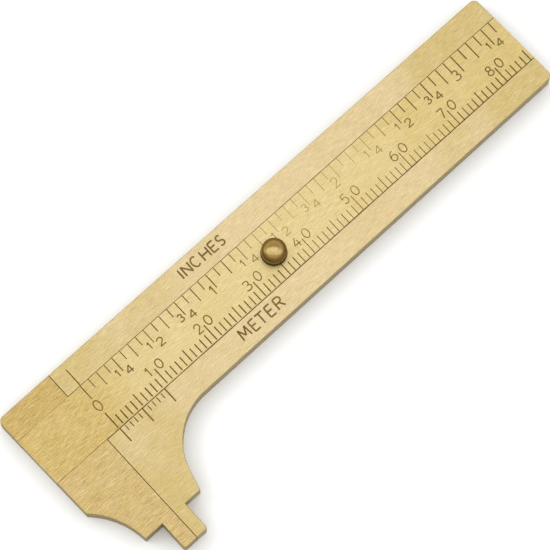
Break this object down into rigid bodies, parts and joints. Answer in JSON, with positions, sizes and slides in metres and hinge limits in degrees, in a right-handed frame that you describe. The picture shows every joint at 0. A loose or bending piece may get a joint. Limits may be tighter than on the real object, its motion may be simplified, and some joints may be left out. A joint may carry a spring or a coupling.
{
  "type": "slide caliper",
  "caption": "Flat brass slide caliper with stepped outside jaws, a dovetailed bar with metric and inch scales, a vernier and a thumb knob.",
  "frame": {"origin": "middle of the closed caliper's outline, in the plane of its back face", "axes": "+X along the scales away from the jaws, +Y away from the jaw tips, +Z out of the graduated face"},
  "size_m": [0.0984, 0.0334, 0.006],
  "materials": {
    "frame_brass": "straight-brushed along the length, slightly worn",
    "head_brass": "straight-brushed, a little yellower than the frame",
    "bar_brass": "straight-brushed, with dark engraved lines and numerals",
    "knob_brass": "turned, with fine rings and darkened hollows",
    "spring_steel": "plain rolled strip"
  },
  "bodies": {
    "frame": {"frame_plate": "frame_brass", "friction_spring": "spring_steel"},
    "slide": {"slide_bar": "bar_brass", "head_plate": "head_brass", "thumb_knob": "knob_brass"}
  },
  "joints": [
    {"name": "jaw_slide", "type": "slide", "parent": "frame", "child": "slide", "axis": [-1, 0, 0], "range_m": [0, 0.08]}
  ]
}
